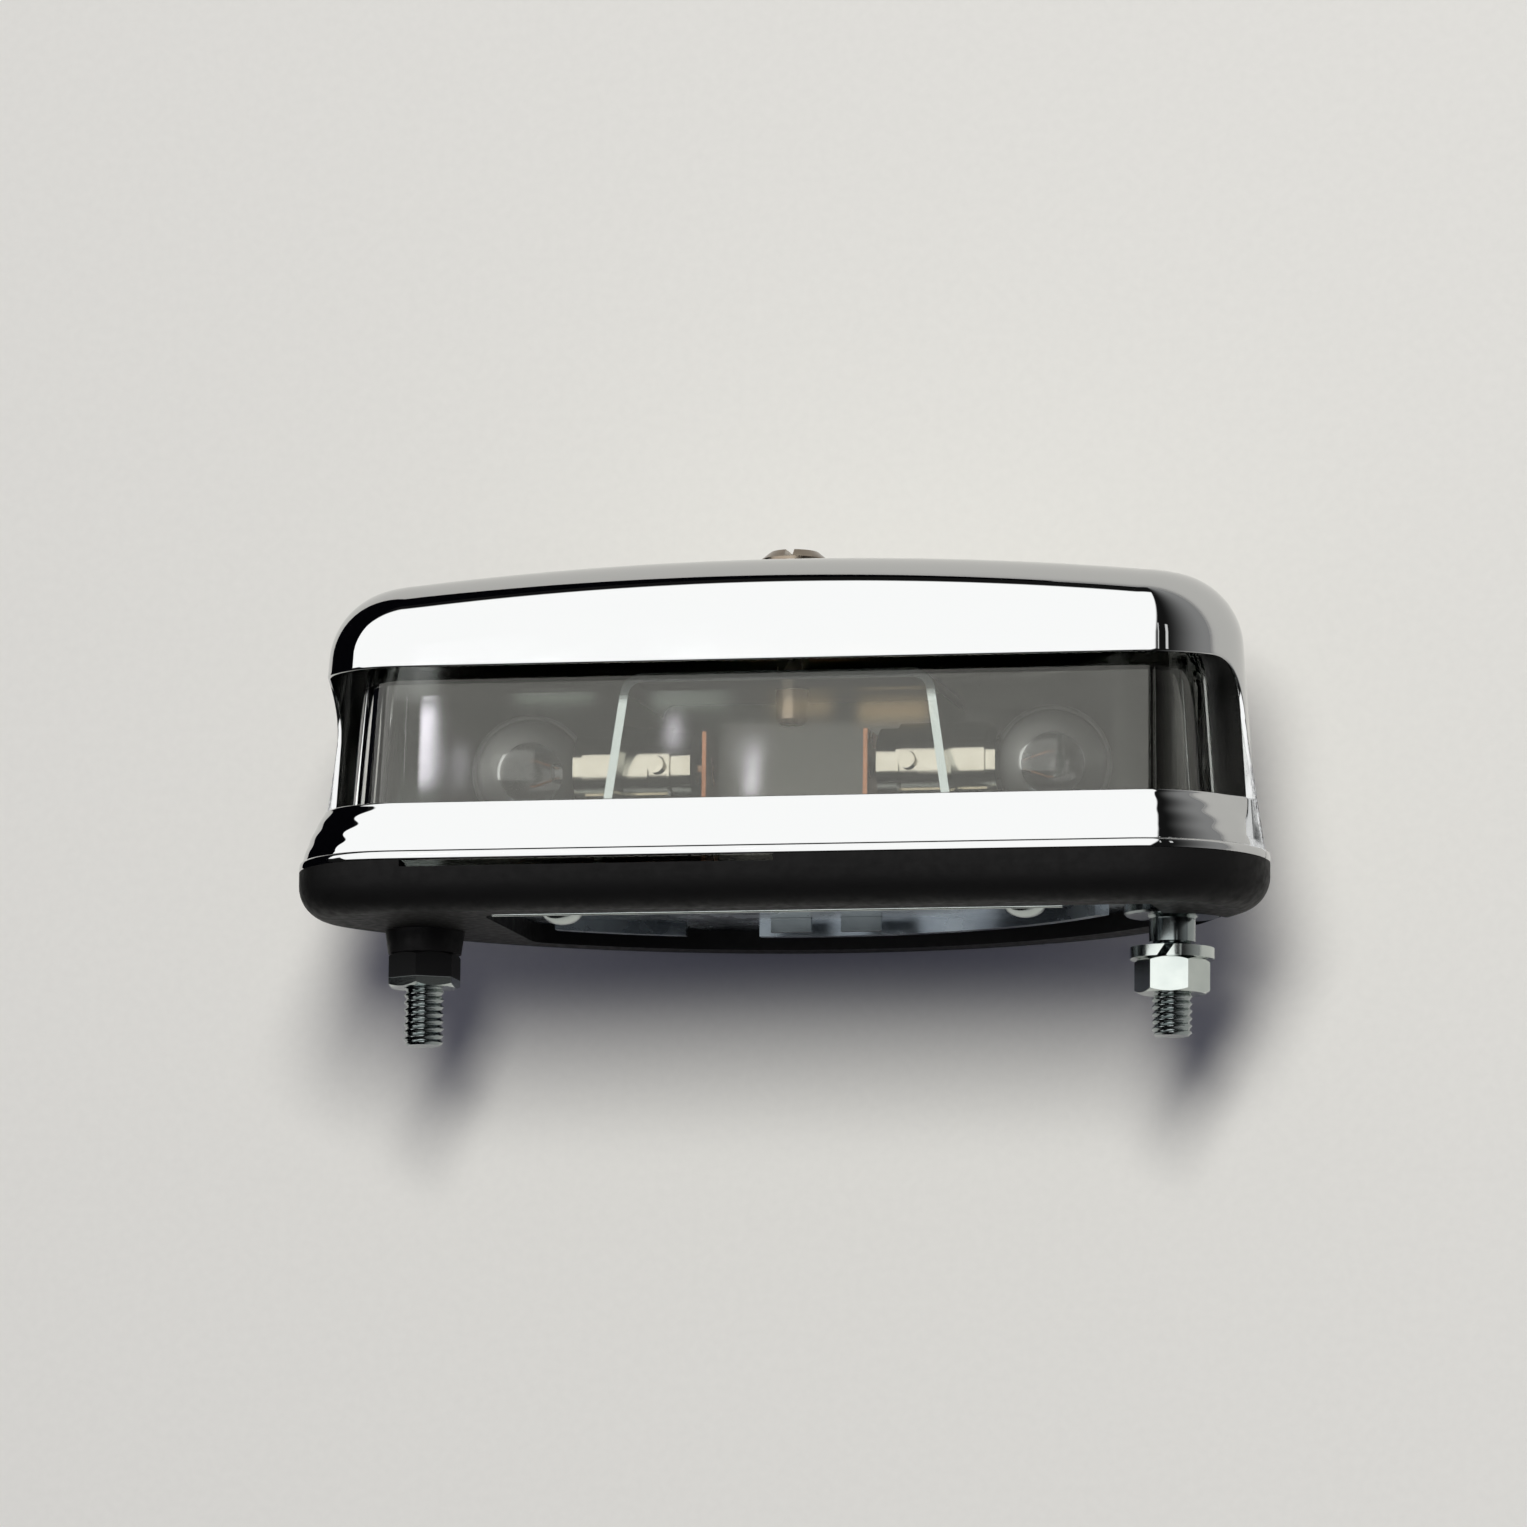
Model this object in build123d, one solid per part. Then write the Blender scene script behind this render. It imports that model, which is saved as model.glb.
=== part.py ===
from build123d import *
import os
from math import radians, sin, tan

# Two-bulb number plate lamp, in millimetres. It is drawn with the panel level: +Z points away from the
# panel, the window faces -Y, and the origin lies on the mounting face midway between the studs. The
# finished pieces are then turned onto the lamp's back, so that the window looks up.

# Base outline: a straight front edge and an arched back, joined by rounded corners
stud_spacing = 88.9
stud_margin = 12.6         # from each stud's axis to the end of the base
front_reach = 22.8          # from the stud line to the front edge
back_reach = 31.0           # from the stud line to the top of the arch
corner_radius = 14.0

fit = 0.1                   # clearance of a pin or stem in its hole
slip = 0.15                 # clearance between parts that drop into each other

# Rubber gasket
gasket_height = 5.6
gasket_edge_radius = 4.0
gasket_band = 7.5           # width of the rubber round the opening
relief_depth = 0.8          # long shallow relief in the gasket's front, under the rim
relief_span = (-42.0, 2.0)
opening_margin = 10.4       # solid rubber between the left stud and the opening
opening_corner = 3.0
opening_clearance = 1.0     # from the right stud's flange to the opening's rounded end
boss_height = 2.7
boss_radius = 5.0           # at the mounting face
boss_tip_radius = 4.3

# Base plate
plate_thickness = 1.2
plate_seat = 2.2            # height of the gasket's ledge under the plate
plate_inset = 3.4           # from the base outline to the plate's edge
plate_top = plate_seat + plate_thickness
front_lip_end = 34.0        # turned-down lip along the front of the opening, up to here on the right
front_lip_drop = 2.0
rear_tab_drop = 1.5         # turned-down tabs along the back of the opening
rear_tab_spans = ((-30.0, -16.0), (-7.5, 38.0))
rear_tab_inset = 14.0       # from the base outline to the tabs' outer face

# Studs, nuts and the one spring washer
stud_radius = 2.35
stud_core_radius = 2.0      # root of the thread, where a nut is run on
stud_tip = -13.5
tip_chamfer = 0.5
neck_radius = 2.7
neck_end = -2.6
flange_radius = 5.6
flange_thickness = 1.0
stake_radius = 4.0          # riveted-over end inside the lamp
stake_height = 1.2
nut_flats = 7.6
nut_thickness = 4.0
nut_turn_left = 30.0        # a corner faces the window side
nut_turn_right = 4.0
washer_radius = 4.9
washer_thickness = 1.3
washer_split = 0.9
washer_slant = 35.0         # lean of the split, in degrees
nut_top_right = -4.6        # this nut is not run up, and the left one sits on the gasket's boss

# Chrome cover
cover_wall = 1.2
rim_low = gasket_height
rim_edge_height = 1.0       # thin rolled edge at the foot of the rim
rim_step = 0.2
sill_foot_height = 1.6      # nearly upright foot of the sill
sill_foot_draft = 8.0
sill_slope = 25.0           # lean of the sill above its foot, in degrees
body_inset = 1.3            # from the base outline to the body, at the gasket's top
draft = 4.1
crown_height = 41.75
crown_radius = 420.0
crown_dome_radius = 150.0   # from front to back
crown_edge_radius = 9.0
window_low = 12.4
window_high = 28.7
window_side = 5.5           # the window runs back to this far in front of the stud line
window_side_radius = 7.0

# Lens
lens_wall = 2.2
lens_gap = 1.3              # between the cover's inside and the lens
lens_lap = 3.5              # height of lens behind the lip
lens_side_lap = 1.5         # run of lens behind the window's side ends

# Cover screw
screw_back = -2.35
screw_radius = 1.9
screw_head_radius = 4.0
screw_head_height = 1.9
screw_slot_width = 1.0
screw_slot_depth = 0.9
screw_reach = 4.0           # thread beyond the bracket's web

# Bulb bracket
strip = 1.0
bracket_front = -11.2
bracket_width = 18.7
web_height = 27.2           # underside of the web
web_half = 17.4
leg_foot = 20.9             # where each leg meets the base plate
foot_reach = 33.0
bend_radius = 1.6
rivet_place = 27.5
rivet_radius = 1.5
rivet_head_radius = 2.5
rivet_head_height = 0.8

# Bulbs and holders, along X at this height and this far in front of the stud line
bulb_height = 17.9
bulb_front = 3.0
globe_radius = 6.9
globe_place = 31.0          # centre of the globe from the lamp's middle
globe_wall = 0.5
globe_neck_radius = 3.4
globe_neck_depth = 2.0      # how far the glass enters the cap
cap_radius = 4.5
cap_wall = 0.4
cap_outer_end = 25.0
cap_inner_end = 11.0
pin_place = 14.85
pin_radius = 1.0
pin_length = 1.7            # beyond the cap
contact_radius = 1.7
contact_height = 1.2
cap_disc_bevel = 0.6        # dark glass disc in the cap's inner end
cap_disc_depth = 2.4
sleeve_wall = 0.45
sleeve_inner_end = 13.4
sleeve_outer_end = 23.8
slot_hook = 32.0            # angle from the run of the J slot to the pin's seat
stem_length = 3.4
stem_radius = 1.9
stem_tip_radius = 1.1
stem_foot = 0.8

# Contacts and terminals
insulator_length = 27.0
insulator_front = -9.0
insulator_back = 12.5
insulator_thickness = 1.6
insulator_corner = 2.0
blade_thickness = 0.5
blade_width = 7.0
blade_tip = 22.0
blade_foot = 5.5
blade_bend = 0.9
terminal_thickness = 0.8
terminal_width = 4.8
terminal_back = 9.8
terminal_low = 0.5
terminal_foot = 4.5
feed_place = -2.6
earth_place = 5.8

# Sizes that follow from the ones above
stud_half = stud_spacing / 2
base_length = stud_spacing + 2 * stud_margin
base_depth = front_reach + back_reach
corner_reach = base_length / 2 - corner_radius
arc_radius = (corner_reach ** 2 / (base_depth - 2 * corner_radius) + base_depth) / 2
arc_centre = back_reach - arc_radius
far = 4 * arc_radius        # beyond every piece, for cuts
opening_left = opening_margin - stud_half
nut_top_left = -boss_height
rivet_back = bracket_front + bracket_width / 2
sill_low = rim_low + rim_edge_height
lens_inset = body_inset + cover_wall + lens_gap         # from the base outline to the lens, at the gasket's top
sill_turn = sill_low + sill_foot_height
sill_foot_run = sill_foot_height * tan(radians(sill_foot_draft))
globe_neck_end = cap_outer_end - globe_neck_depth
insulator_top = plate_top + insulator_thickness
sleeve_radius = cap_radius + fit + sleeve_wall
blade_place = cap_inner_end - contact_height - blade_thickness


def half_moon(inset=0.0):
    """Base outline, drawn in by an even inset: a straight front, an arched back and rounded corners."""
    disc = Pos(0, arc_centre) * Circle(arc_radius - inset)
    ahead = Pos(0, inset - front_reach) * Rectangle(far, far, align=(Align.CENTER, Align.MIN))
    outline = disc & ahead
    return fillet(outline.vertices(), corner_radius - inset)


def slab(outline, low, height, taper=0.0):
    return extrude(Pos(0, 0, low) * outline, height, taper=taper)


def turned(profile_points):
    """Round piece about Z from its half section, given as (radius, height) points."""
    with_axis = make_face(Polyline(*[(r, 0, z) for r, z in profile_points], close=True))
    return revolve(with_axis, Axis.Z)


def peg(x, y, low, high, radius):
    return Pos(x, y, low) * Cylinder(radius, high - low, align=(Align.CENTER, Align.CENTER, Align.MIN))


def bar(x_span, y_span, z_span):
    """Block between the given limits."""
    size = [high - low for low, high in (x_span, y_span, z_span)]
    middle = [(high + low) / 2 for low, high in (x_span, y_span, z_span)]
    return Pos(*middle) * Box(*size)


def folded_strip(points, bend, thickness, width):
    """Sheet strip folded along a path in XZ, thickened above the path and extruded along +Y."""
    path = FilletPolyline(*[(x, 0, z) for x, z in points], radius=bend)
    section = make_face(offset(path.wire(), thickness, side=Side.RIGHT))
    return extrude(section, width, dir=(0, 1, 0))


def make_gasket():
    pad = slab(half_moon(), 0, gasket_height)
    pad = fillet(pad.edges().group_by(Axis.Z)[0], gasket_edge_radius)
    pad -= slab(half_moon(plate_inset - slip), plate_seat, gasket_height)
    pad -= bar(relief_span, (-far, 0), (gasket_height - relief_depth, 2 * gasket_height))
    between = Pos(opening_left, 0) * Rectangle(stud_half - opening_left, far, align=(Align.MIN, Align.CENTER))
    opening = half_moon(gasket_band) & between
    opening = fillet(opening.vertices().group_by(Axis.X)[0], opening_corner)
    opening += Pos(stud_half, 0) * Circle(flange_radius + opening_clearance)
    pad -= slab(opening, -gasket_height, 2 * gasket_height)
    boss = Pos(-stud_half, 0, -boss_height) * Cone(boss_tip_radius, boss_radius, boss_height + plate_seat,
                                                   align=(Align.CENTER, Align.CENTER, Align.MIN))
    pad += boss
    pad -= peg(-stud_half, 0, plate_seat - flange_thickness, gasket_height, flange_radius + fit)
    pad -= peg(-stud_half, 0, -gasket_height, gasket_height, neck_radius + fit)
    return pad


def make_base_plate():
    plate = slab(half_moon(plate_inset), plate_seat, plate_thickness)
    lip_face = front_reach - gasket_band - slip
    plate += bar((opening_left + opening_corner, front_lip_end), (-lip_face, -lip_face + plate_thickness),
                 (plate_seat - front_lip_drop, plate_top))
    tab_radius = arc_radius - rear_tab_inset
    ring = Circle(tab_radius) - Circle(tab_radius - plate_thickness)
    rear = slab(Pos(0, arc_centre) * ring, plate_seat - rear_tab_drop, rear_tab_drop)
    for span in rear_tab_spans:
        plate += rear & bar(span, (0, back_reach), (0, plate_seat))
    for side in (-1, 1):
        plate -= peg(side * stud_half, 0, 0, plate_top, stud_radius + fit)
        plate -= peg(side * rivet_place, rivet_back, 0, plate_top, rivet_radius + fit)
    for place in (feed_place, earth_place):
        plate -= terminal_hole(place)
    return plate


def terminal_hole(place):
    half = terminal_width / 2 + slip
    return bar((place - half, place + half),
               (terminal_back - slip, terminal_back + terminal_thickness + slip), (plate_seat - 1, insulator_top))


def make_stud(nut_top):
    nut_low = nut_top - nut_thickness
    flange_low = plate_seat - flange_thickness
    profile = [(0, stud_tip), (stud_radius - tip_chamfer, stud_tip), (stud_radius, stud_tip + tip_chamfer),
               (stud_radius, nut_low), (stud_core_radius, nut_low), (stud_core_radius, nut_top)]
    if nut_top < neck_end:
        profile += [(stud_radius, nut_top), (stud_radius, neck_end)]
    neck_low = max(neck_end, nut_top)
    profile += [(neck_radius, neck_low), (neck_radius, flange_low), (flange_radius, flange_low),
                (flange_radius, plate_seat), (stud_radius, plate_seat), (stud_radius, plate_top),
                (stake_radius, plate_top), (stake_radius, plate_top + stake_height / 2),
                (stake_radius / 2, plate_top + stake_height), (0, plate_top + stake_height)]
    return turned(profile)


def make_nut(turn):
    """Hexagon nut with chamfered corners on both faces, its top at z = 0."""
    corner = nut_flats / 2 / sin(radians(60))
    hexagon = Rot(0, 0, turn) * RegularPolygon(corner, 6)
    nut = extrude(hexagon, -nut_thickness)
    bevel = corner - nut_flats / 2
    rounding = turned([(0, 0), (nut_flats / 2, 0), (corner, -bevel * 0.6), (corner, -nut_thickness + bevel * 0.6),
                       (nut_flats / 2, -nut_thickness), (0, -nut_thickness)])
    nut &= rounding
    nut -= peg(0, 0, -nut_thickness, 0, stud_core_radius + fit / 2)
    return nut


def make_spring_washer():
    """Split ring, its lower face at z = 0, cut across by a slanting gap."""
    ring = peg(0, 0, 0, washer_thickness, washer_radius) - peg(0, 0, 0, washer_thickness, stud_radius + slip)
    gap = Pos(0, -washer_radius / 2, washer_thickness / 2) * Rot(0, washer_slant, 0) * Box(
        washer_split, washer_radius, 4 * washer_thickness)
    return ring - gap


def crowned(outline, low, shrink):
    """Drafted body under the domed crown, with its top edge rounded."""
    tall = slab(outline, low, crown_height, taper=draft)
    ring = Torus(crown_radius - crown_dome_radius, crown_dome_radius - shrink)
    dome = Pos(0, screw_back, crown_height - crown_radius) * Rot(90, 0, 0) * ring
    body = tall & dome
    top = body.faces().sort_by(Axis.Z)[-1]
    return fillet(top.edges(), crown_edge_radius - shrink)


def flared_body():
    """Body standing on a thin flange, with a hollow flare between them."""
    flange = slab(half_moon(), rim_low, rim_edge_height)
    form = flange + crowned(half_moon(body_inset), rim_low, 0)
    ledge = form.faces().filter_by(Plane.XY).sort_by(Axis.Z)[-1]
    return fillet(ledge.inner_wires()[0].edges(), body_inset)


def sill_form(shrink):
    """Upright rim edge, the foot of the sill and the leaning sill above it."""
    outline = half_moon(rim_step + shrink)
    form = slab(outline, rim_low, rim_edge_height)
    form += slab(outline, sill_low, sill_foot_height, taper=sill_foot_draft)
    form += slab(half_moon(rim_step + shrink + sill_foot_run), sill_turn, window_low - sill_turn, taper=sill_slope)
    return form


def make_cover():
    cover = flared_body() - crowned(half_moon(body_inset + cover_wall), rim_low, cover_wall)
    window = bar((-far, far), (-far, -window_side), (sill_low, window_high))
    rear_top = window.edges().filter_by(Axis.X).sort_by(Axis.Y)[-2:].sort_by(Axis.Z)[-1]
    cover -= fillet(rear_top, window_side_radius)
    sill = sill_form(0) - sill_form(cover_wall)
    cover += sill & bar((-far, far), (-far, cover_wall - window_side), (rim_low, window_low))
    cover -= peg(0, screw_back, window_high, 2 * crown_height, screw_radius + fit)
    return cover


def make_lens():
    top = window_high + lens_lap
    rise = rim_low - plate_top
    foot_inset = lens_inset - rise * tan(radians(draft))
    outer = slab(half_moon(foot_inset), plate_top, top - plate_top, taper=draft)
    inner = slab(half_moon(foot_inset + lens_wall), plate_top, top - plate_top, taper=draft)
    return (outer - inner) & bar((-far, far), (-far, lens_side_lap - window_side), (0, top))


def make_cover_screw():
    tip = web_height - screw_reach
    head = turned([(0, tip), (screw_radius - tip_chamfer, tip), (screw_radius, tip + tip_chamfer),
                   (screw_radius, crown_height), (screw_head_radius, crown_height),
                   (screw_head_radius, crown_height + screw_head_height / 2),
                   (screw_head_radius * 0.7, crown_height + screw_head_height), (0, crown_height + screw_head_height)])
    slot_low = crown_height + screw_head_height - screw_slot_depth
    reach = 2 * screw_head_radius
    head -= bar((-screw_slot_width / 2, screw_slot_width / 2), (-reach, reach), (slot_low, slot_low + reach))
    return Pos(0, screw_back, 0) * head


def make_bracket():
    half = [(leg_foot, plate_top), (web_half, web_height)]
    points = [(-foot_reach, plate_top)] + [(-x, z) for x, z in half] + half[::-1] + [(foot_reach, plate_top)]
    bracket = Pos(0, bracket_front, 0) * folded_strip(points, bend_radius, strip, bracket_width)
    bracket -= along_x(-foot_reach, foot_reach, sleeve_radius + fit / 2)
    bracket -= peg(0, screw_back, web_height - 1, web_height + 2 * strip, screw_radius + fit / 2)
    for side in (-1, 1):
        bracket -= peg(side * rivet_place, rivet_back, 0, plate_top + 2 * strip, rivet_radius + fit)
    return bracket


def make_rivet(side):
    low_head, top_head = plate_seat, plate_top + strip
    rivet = turned([(0, low_head - rivet_head_height), (rivet_head_radius * 0.6, low_head - rivet_head_height),
                    (rivet_head_radius, low_head - rivet_head_height / 3), (rivet_head_radius, low_head),
                    (rivet_radius, low_head), (rivet_radius, top_head), (rivet_head_radius, top_head),
                    (rivet_head_radius, top_head + rivet_head_height / 2),
                    (rivet_head_radius * 0.6, top_head + rivet_head_height), (0, top_head + rivet_head_height)])
    return Pos(side * rivet_place, rivet_back, 0) * rivet


def along_x(start, end, radius):
    """Rod on the bulbs' axis between two places along the lamp."""
    rod = Rot(0, 90, 0) * Cylinder(radius, end - start, align=(Align.CENTER, Align.CENTER, Align.MIN))
    return Pos(start, -bulb_front, bulb_height) * rod


def turned_on_bulb_axis(points):
    """Round piece about the bulbs' axis from (place along X, radius) points, for the right-hand bulb."""
    section = make_face(Polyline(*[(x, 0, r) for x, r in points], close=True))
    return Pos(0, -bulb_front, bulb_height) * revolve(section, Axis.X)


def make_sleeve():
    """Bayonet sleeve of the right-hand bulb, with a J slot at the front and at the back."""
    sleeve = along_x(sleeve_inner_end, sleeve_outer_end, sleeve_radius)
    sleeve -= along_x(sleeve_inner_end, sleeve_outer_end, sleeve_radius - sleeve_wall)
    slot = pin_radius + slip
    seat = Pos(pin_place, 0, 0) * Rectangle(2 * slot, 3 * sleeve_radius, align=(Align.CENTER, Align.MIN))
    hook = revolve(seat, Axis.X, slot_hook)
    run = Rot(slot_hook, 0, 0) * bar((pin_place - slot, sleeve_outer_end + 1), (0, 3 * sleeve_radius), (-slot, slot))
    pin_seat = Pos(pin_place, 0, 0) * Rot(-90, 0, 0) * Cylinder(slot, 3 * sleeve_radius,
                                                                 align=(Align.CENTER, Align.CENTER, Align.MIN))
    j_slot = hook + run + pin_seat
    for half_turn in (0, 180):
        sleeve -= Pos(0, -bulb_front, bulb_height) * Rot(half_turn, 0, 0) * j_slot
    return sleeve


def make_globe():
    """Blown glass of the right-hand bulb: a round globe with a short neck that enters the cap."""
    ball = Pos(globe_place, -bulb_front, bulb_height) * Sphere(globe_radius)
    hollow = Pos(globe_place, -bulb_front, bulb_height) * Sphere(globe_radius - globe_wall)
    neck = along_x(globe_neck_end, globe_place, globe_neck_radius)
    bore = along_x(globe_neck_end, globe_place, globe_neck_radius - globe_wall)
    return ball + neck - hollow - bore


def make_cap():
    """Metal cap of the right-hand bulb, with two bayonet pins."""
    cap = along_x(cap_inner_end, cap_outer_end, cap_radius)
    cap -= along_x(cap_inner_end, cap_outer_end, cap_radius - cap_wall)
    for turn in (90, -90):
        pin = Pos(pin_place, -bulb_front, bulb_height) * Rot(turn, 0, 0) * Pos(0, 0, cap_radius - cap_wall) * Cylinder(
            pin_radius, pin_length + cap_wall, align=(Align.CENTER, Align.CENTER, Align.MIN))
        cap += pin
    return cap


def make_stem():
    """Glass stem that stands in the neck and carries the lead-in wires."""
    seat = globe_neck_radius - globe_wall - fit / 2
    tip = cap_outer_end + stem_length
    return turned_on_bulb_axis([(globe_neck_end, 0), (globe_neck_end, seat), (globe_neck_end + stem_foot, seat),
                                (cap_outer_end, stem_radius), (tip, stem_tip_radius), (tip, 0)])


def make_cap_insulator():
    """Dark glass disc that closes the inner end of the cap."""
    disc = cap_radius - cap_wall - fit / 2
    back = cap_inner_end + cap_disc_depth
    return turned_on_bulb_axis([(cap_inner_end, 0), (cap_inner_end, contact_radius),
                                (cap_inner_end + cap_disc_bevel, disc), (back, disc), (back, 0)])


def make_bulb_contact():
    """Solder pip on the cap's insulator."""
    rise = cap_inner_end - contact_height
    return turned_on_bulb_axis([(cap_inner_end, 0), (cap_inner_end, contact_radius),
                                (rise + contact_height / 3, contact_radius * 0.85), (rise, contact_radius * 0.5),
                                (rise, 0)])


def make_blade():
    """Copper spring of the right-hand bulb: an upright leaf on a foot that points to the middle."""
    points = [(blade_place - blade_foot, insulator_top), (blade_place, insulator_top), (blade_place, blade_tip)]
    leaf = folded_strip([(x + (blade_thickness if x == blade_place else 0), z) for x, z in points], blade_bend,
                        blade_thickness, blade_width)
    return Pos(0, -bulb_front - blade_width / 2, 0) * leaf


def make_contact_insulator():
    half = insulator_length / 2
    block = bar((-half, half), (insulator_front, insulator_back), (plate_top, insulator_top))
    block = fillet(block.edges().filter_by(Axis.Z), insulator_corner)
    for place in (feed_place, earth_place):
        block -= terminal_hole(place)
    return block


def make_terminal(place):
    """Tab that hangs through the plate, with a foot on the insulator."""
    width = (place - terminal_width / 2, place + terminal_width / 2)
    rear = terminal_back + terminal_thickness
    tab = bar(width, (terminal_back, rear), (terminal_low, insulator_top + terminal_thickness))
    tab += bar(width, (terminal_back - terminal_foot, rear), (insulator_top, insulator_top + terminal_thickness))
    return tab


def on_both_sides(name, right):
    """The right-hand piece and its mirror image."""
    return {f"{name}_right": right, f"{name}_left": mirror(right, Plane.YZ)}


pieces = {
    "gasket": make_gasket(),
    "base_plate": make_base_plate(),
    "cover": make_cover(),
    "lens": make_lens(),
    "cover_screw": make_cover_screw(),
    "bulb_bracket": make_bracket(),
    "stud_left": Pos(-stud_half, 0, 0) * make_stud(nut_top_left),
    "stud_right": Pos(stud_half, 0, 0) * make_stud(nut_top_right),
    "nut_left": Pos(-stud_half, 0, nut_top_left) * make_nut(nut_turn_left),
    "nut_right": Pos(stud_half, 0, nut_top_right) * make_nut(nut_turn_right),
    "spring_washer": Pos(stud_half, 0, nut_top_right) * make_spring_washer(),
    "bracket_rivet_left": make_rivet(-1),
    "bracket_rivet_right": make_rivet(1),
    "contact_insulator": make_contact_insulator(),
    "feed_terminal": make_terminal(feed_place),
    "earth_terminal": make_terminal(earth_place),
    **on_both_sides("holder_sleeve", make_sleeve()),
    **on_both_sides("bulb_globe", make_globe()),
    **on_both_sides("bulb_cap", make_cap()),
    **on_both_sides("bulb_stem", make_stem()),
    **on_both_sides("bulb_insulator", make_cap_insulator()),
    **on_both_sides("bulb_contact", make_bulb_contact()),
    **on_both_sides("contact_blade", make_blade()),
}

onto_back = Rot(-90, 0, 0)
os.makedirs("parts", exist_ok=True)
for name, piece in pieces.items():
    export_step(onto_back * piece, f"parts/{name}.step")
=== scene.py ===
import math

import bmesh
import bpy
from mathutils import Matrix, Vector


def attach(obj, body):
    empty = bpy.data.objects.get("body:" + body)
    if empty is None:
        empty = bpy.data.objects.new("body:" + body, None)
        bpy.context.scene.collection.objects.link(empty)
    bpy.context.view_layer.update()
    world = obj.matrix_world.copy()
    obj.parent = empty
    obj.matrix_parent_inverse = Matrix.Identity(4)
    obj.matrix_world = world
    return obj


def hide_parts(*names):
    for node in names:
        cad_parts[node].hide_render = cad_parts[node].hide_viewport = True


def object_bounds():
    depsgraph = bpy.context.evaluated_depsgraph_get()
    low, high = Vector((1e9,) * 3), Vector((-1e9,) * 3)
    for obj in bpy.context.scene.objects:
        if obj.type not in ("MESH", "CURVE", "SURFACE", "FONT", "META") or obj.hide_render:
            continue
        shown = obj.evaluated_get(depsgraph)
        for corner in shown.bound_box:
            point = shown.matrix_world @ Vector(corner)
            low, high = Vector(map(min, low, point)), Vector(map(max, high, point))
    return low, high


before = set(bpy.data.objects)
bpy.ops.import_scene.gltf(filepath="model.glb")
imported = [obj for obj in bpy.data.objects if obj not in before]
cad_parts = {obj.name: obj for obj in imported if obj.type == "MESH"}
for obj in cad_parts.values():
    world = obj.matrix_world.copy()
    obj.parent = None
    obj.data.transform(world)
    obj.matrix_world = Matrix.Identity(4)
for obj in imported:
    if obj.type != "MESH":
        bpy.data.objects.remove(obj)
cad_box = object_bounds()

MM = 0.001

# Camera, in millimetres in the part's frame: it looks down on the window, a little from the right
camera_place = Vector((211.43, -126.55, 1019.63)) * MM
camera_right = Vector((0.97863, 0.00968, -0.20539))
camera_back = Vector((0.20473, -0.13850, 0.96897))
camera_lens = 212.2
camera_sensor = 36.0

# Soft light overhead, on the crown's side, in metres
key_direction = Vector((0.13, 0.23, 0.96))
key_distance = 1.2
key_size = (0.28, 0.50)
key_power = 12.9

# White card that the chrome reflects. Each edge fades between two angles in degrees, which are measured
# from straight up: across towards +X and along towards +Y.
card_level = 1.7
card_left = (-74, -71)
card_left_slope = 0.2       # shift of the left edge for each degree along
card_right = (14, 17)
card_right_slope = 0.12
card_near = (-36, -30)
card_notch = (-70, -62)     # left of this the near edge draws back
card_notch_depth = 62
card_far = (80, 82)

# Dark room round the card, paler on the right, with two bright streaks; angles in degrees
room_level = 0.012
side_level = 0.34
side_fade = (30, 85)
streaks_across = ((20.4, 21.6), (30, 33))
streaks_along = (6, 30)
streak_edge = 0.5

# Low fill that matt surfaces see in place of the card and the room
fill_colour = (0.68, 0.70, 1.0, 1)
fill_level = 0.15

# Small far lights that glint on the lens: under each colour the place and the size in degrees, and the level
far_lights = {
    (0.88, 0.86, 1.0, 1): [((-14.55, 16.5), (0.13, 0.5), 18), ((-14.3, 16.35), (0.06, 0.25), 4),
                           ((-12.9, 16.55), (0.10, 0.2), 6), ((-12.37, 16.3), (0.09, 0.35), 8)],
    (0.86, 1.0, 0.93, 1): [((-13.7, 16.83), (0.5, 0.06), 4), ((-12.8, 16.76), (0.5, 0.06), 3)],
    (1.0, 0.74, 0.42, 1): [((-12.05, 16.7), (0.38, 0.1), 2), ((-11.45, 16.66), (0.46, 0.12), 2.5)],
}
glint_edges = (0.05, 0.08)

# Pale table, and a black card beside the lamp that shows only in metal and glass
table_half = 3000.0 * MM
table_colour = (0.78, 0.765, 0.70, 1)
table_fleck = 0.975         # share of the table's colour that its darkest flecks have
far_glow = 0.5              # lifts the far table in reflections, where the light overhead no longer reaches
far_glow_fade = (400.0 * MM, 2400.0 * MM)
flag_place = -98.0 * MM
flag_height = 56.0 * MM
flag_length = 2400.0 * MM
flag_colour = (0.004, 0.004, 0.006, 1)

# Chrome's colour, and the zinc that the left nut and the bracket share
chrome_colour = (0.55, 0.556, 0.554, 1)
zinc_colour = (0.46, 0.50, 0.48, 1)
zinc_rough = 0.15

# Plan outline of the part; all sizes from here on are in millimetres
base_half = 57.05
front_reach = 22.8
corner_radius = 14.0
arc_radius = 62.82
arc_centre = 31.82          # centre of the back's arc, along Z
back_steps = 60
corner_steps = 72
front_steps = 40

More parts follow.
